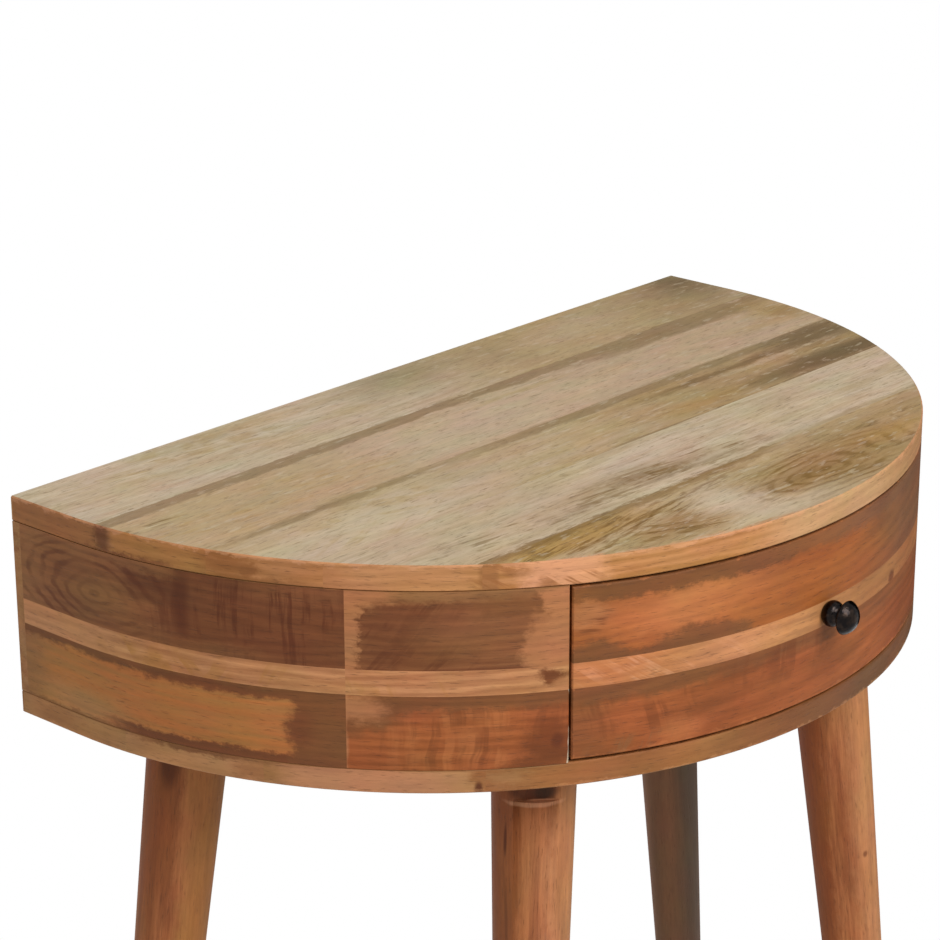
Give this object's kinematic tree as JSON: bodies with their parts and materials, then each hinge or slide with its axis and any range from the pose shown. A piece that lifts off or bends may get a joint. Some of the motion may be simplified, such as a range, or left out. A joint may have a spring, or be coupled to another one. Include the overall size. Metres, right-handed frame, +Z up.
{
  "type": "demilune side table",
  "caption": "Half-moon side table in solid wood: flat-backed boarded top, curved apron of stacked blocks, bow-fronted drawer with a turned knob, and splayed turned legs.",
  "frame": {"origin": "on the floor, at the middle of the overall box, knob and feet included", "axes": "+X to the right of someone facing the drawer, +Y towards the straight rear edge, -Y the way the drawer opens, +Z up"},
  "size_m": [0.6273, 0.37, 0.75],
  "materials": {
    "top_wood": "satin lacquer, pale beige boards with grey-brown streaks",
    "block_wood": "satin lacquer, red-brown with darker figure",
    "strip_wood": "satin lacquer, pale peach",
    "base_wood": "satin lacquer, tan",
    "leg_wood": "satin lacquer, orange-brown, grain along the leg",
    "inner_wood": "plain sanded",
    "panel_wood": "plain sanded panel",
    "bronze": "polished, dark bronze patina",
    "steel": "zinc plated"
  },
  "bodies": {
    "carcass": {"apron_left_front_lower": "block_wood", "apron_left_front_strip": "strip_wood", "apron_left_front_upper": "block_wood", "apron_left_rear_lower": "block_wood", "apron_left_rear_strip": "strip_wood", "apron_left_rear_upper": "block_wood", "apron_right_front_lower": "block_wood", "apron_right_front_strip": "strip_wood", "apron_right_front_upper": "block_wood", "apron_right_rear_lower": "block_wood", "apron_right_rear_strip": "strip_wood", "apron_right_rear_upper": "block_wood", "back_panel": "panel_wood", "back_screws": "steel", "base_board_1": "base_wood", "base_board_2": "base_wood", "base_board_3": "base_wood", "base_board_4": "base_wood", "base_screws": "steel", "drawer_kicker_left": "inner_wood", "drawer_kicker_right": "inner_wood", "drawer_runner_left": "inner_wood", "drawer_runner_right": "inner_wood", "drawer_stop_left": "inner_wood", "drawer_stop_right": "inner_wood", "hanger_bolts": "steel", "kicker_screws": "steel", "leg_back_left": "leg_wood", "leg_back_right": "leg_wood", "leg_front_left": "leg_wood", "leg_front_right": "leg_wood", "runner_screws": "steel", "tee_nuts": "steel", "top_board_1": "top_wood", "top_board_2": "top_wood", "top_board_3": "top_wood", "top_board_4": "top_wood", "top_board_5": "top_wood"},
    "drawer": {"drawer_bottom": "panel_wood", "drawer_front_lower": "block_wood", "drawer_front_strip": "strip_wood", "drawer_front_upper": "block_wood", "drawer_rear": "inner_wood", "drawer_side_left": "inner_wood", "drawer_side_right": "inner_wood", "knob": "bronze", "knob_screw": "steel"}
  },
  "joints": [
    {"name": "drawer_slide", "type": "slide", "parent": "carcass", "child": "drawer", "axis": [0, -1, 0], "range_m": [0, 0.2]}
  ]
}
